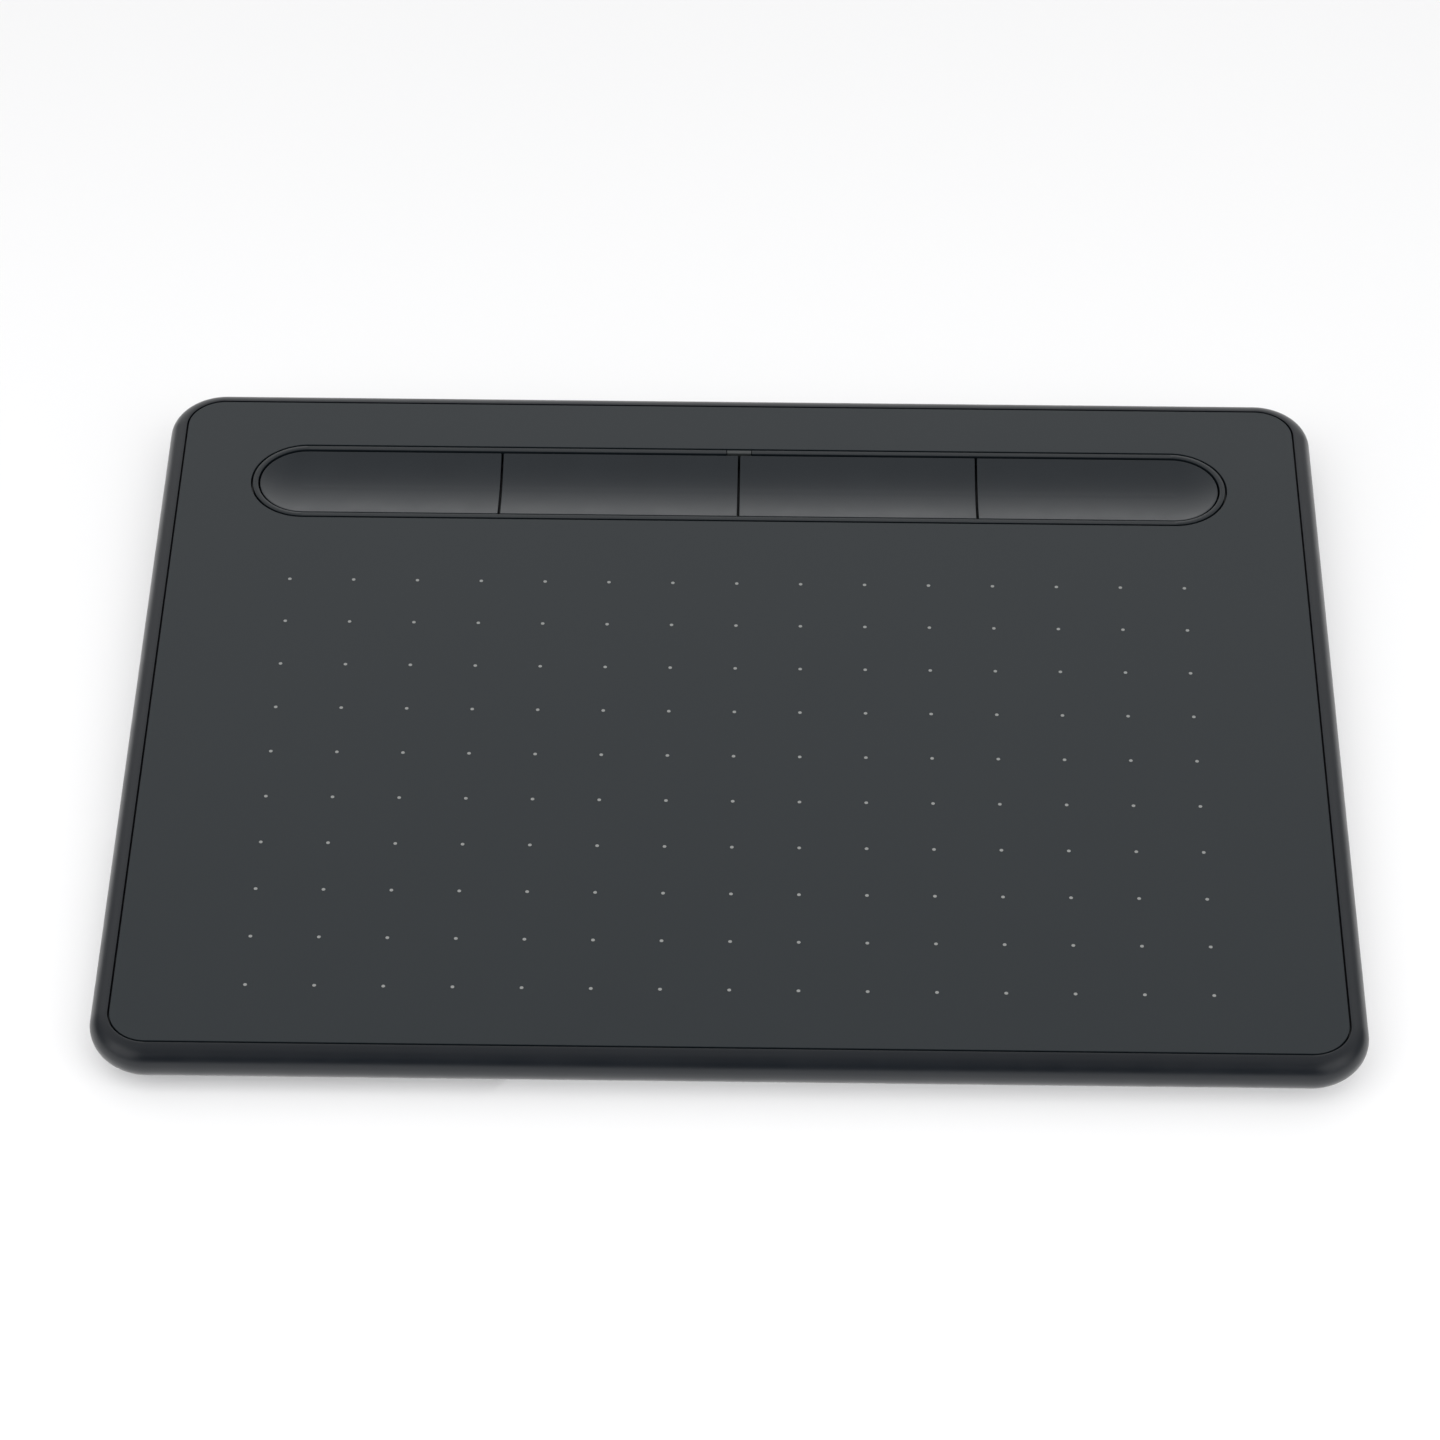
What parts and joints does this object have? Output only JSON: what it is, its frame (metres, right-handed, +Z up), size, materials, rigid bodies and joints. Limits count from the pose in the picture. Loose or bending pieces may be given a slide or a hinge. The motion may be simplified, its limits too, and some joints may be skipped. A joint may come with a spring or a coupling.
{
  "type": "pen drawing tablet",
  "caption": "Slim flat drawing tablet: bullnose case, dotted matte drawing surface, and a stadium-shaped pen tray at the rear made of dished shortcut keys.",
  "frame": {"origin": "centre of the footprint, on the surface that the feet stand on", "axes": "+X to the right along the long side, +Y to the rear where the pen tray is, +Z up out of the drawing surface"},
  "size_m": [0.2, 0.16, 0.0088],
  "materials": {
    "case_plastic": "fine matte moulded, near black",
    "drawing_surface": "fine paper-like texture, dark cool grey, with printed grey dots",
    "bezel_plastic": "satin moulded, dark grey",
    "key_plastic": "satin moulded, dark grey",
    "frame_plastic": "plain moulded",
    "switch_housing": "plain moulded",
    "switch_button": "plain moulded",
    "circuit_board": "glass-fibre laminate with green solder mask",
    "chip": "moulded package",
    "plated_steel": "plated sheet",
    "socket_tongue": "plain moulded",
    "shield_foil": "plain sheet",
    "ribbon_film": "polyimide film",
    "connector_plastic": "plain moulded",
    "led": "clear moulded package",
    "light_guide": "smoked translucent",
    "foot_rubber": "matte",
    "screw_steel": "black finish"
  },
  "bodies": {
    "chassis": {"case_screw_1": "screw_steel", "case_screw_2": "screw_steel", "case_screw_3": "screw_steel", "case_screw_4": "screw_steel", "case_screw_5": "screw_steel", "case_screw_6": "screw_steel", "control_board": "circuit_board", "controller_chip": "chip", "crystal": "plated_steel", "digitizer_board": "circuit_board", "foot_front_left": "foot_rubber", "foot_front_right": "foot_rubber", "foot_rear_left": "foot_rubber", "foot_rear_right": "foot_rubber", "key_base": "frame_plastic", "key_connector": "connector_plastic", "key_ribbon": "ribbon_film", "key_switch_board": "circuit_board", "pen_signal_chip": "chip", "rear_case": "case_plastic", "sensor_connector": "connector_plastic", "sensor_ribbon": "ribbon_film", "shield_sheet": "shield_foil", "status_led": "led", "status_light_guide": "light_guide", "support_frame": "frame_plastic", "surface_panel": "drawing_surface", "switch_body_1": "switch_housing", "switch_body_2": "switch_housing", "switch_body_3": "switch_housing", "switch_body_4": "switch_housing", "tray_bezel": "bezel_plastic", "usb_socket_shell": "plated_steel", "usb_socket_tongue": "socket_tongue"},
    "key_1": {"shortcut_key_1": "key_plastic", "switch_button_1": "switch_button"},
    "key_2": {"shortcut_key_2": "key_plastic", "switch_button_2": "switch_button"},
    "key_3": {"shortcut_key_3": "key_plastic", "switch_button_3": "switch_button"},
    "key_4": {"shortcut_key_4": "key_plastic", "switch_button_4": "switch_button"}
  },
  "joints": [
    {"name": "key_1_press", "type": "slide", "parent": "chassis", "child": "key_1", "axis": [0, 0, -1], "range_m": [0, 0.0005], "stiffness_N_per_m": 3000},
    {"name": "key_2_press", "type": "slide", "parent": "chassis", "child": "key_2", "axis": [0, 0, -1], "range_m": [0, 0.0005], "stiffness_N_per_m": 3000},
    {"name": "key_3_press", "type": "slide", "parent": "chassis", "child": "key_3", "axis": [0, 0, -1], "range_m": [0, 0.0005], "stiffness_N_per_m": 3000},
    {"name": "key_4_press", "type": "slide", "parent": "chassis", "child": "key_4", "axis": [0, 0, -1], "range_m": [0, 0.0005], "stiffness_N_per_m": 3000}
  ]
}
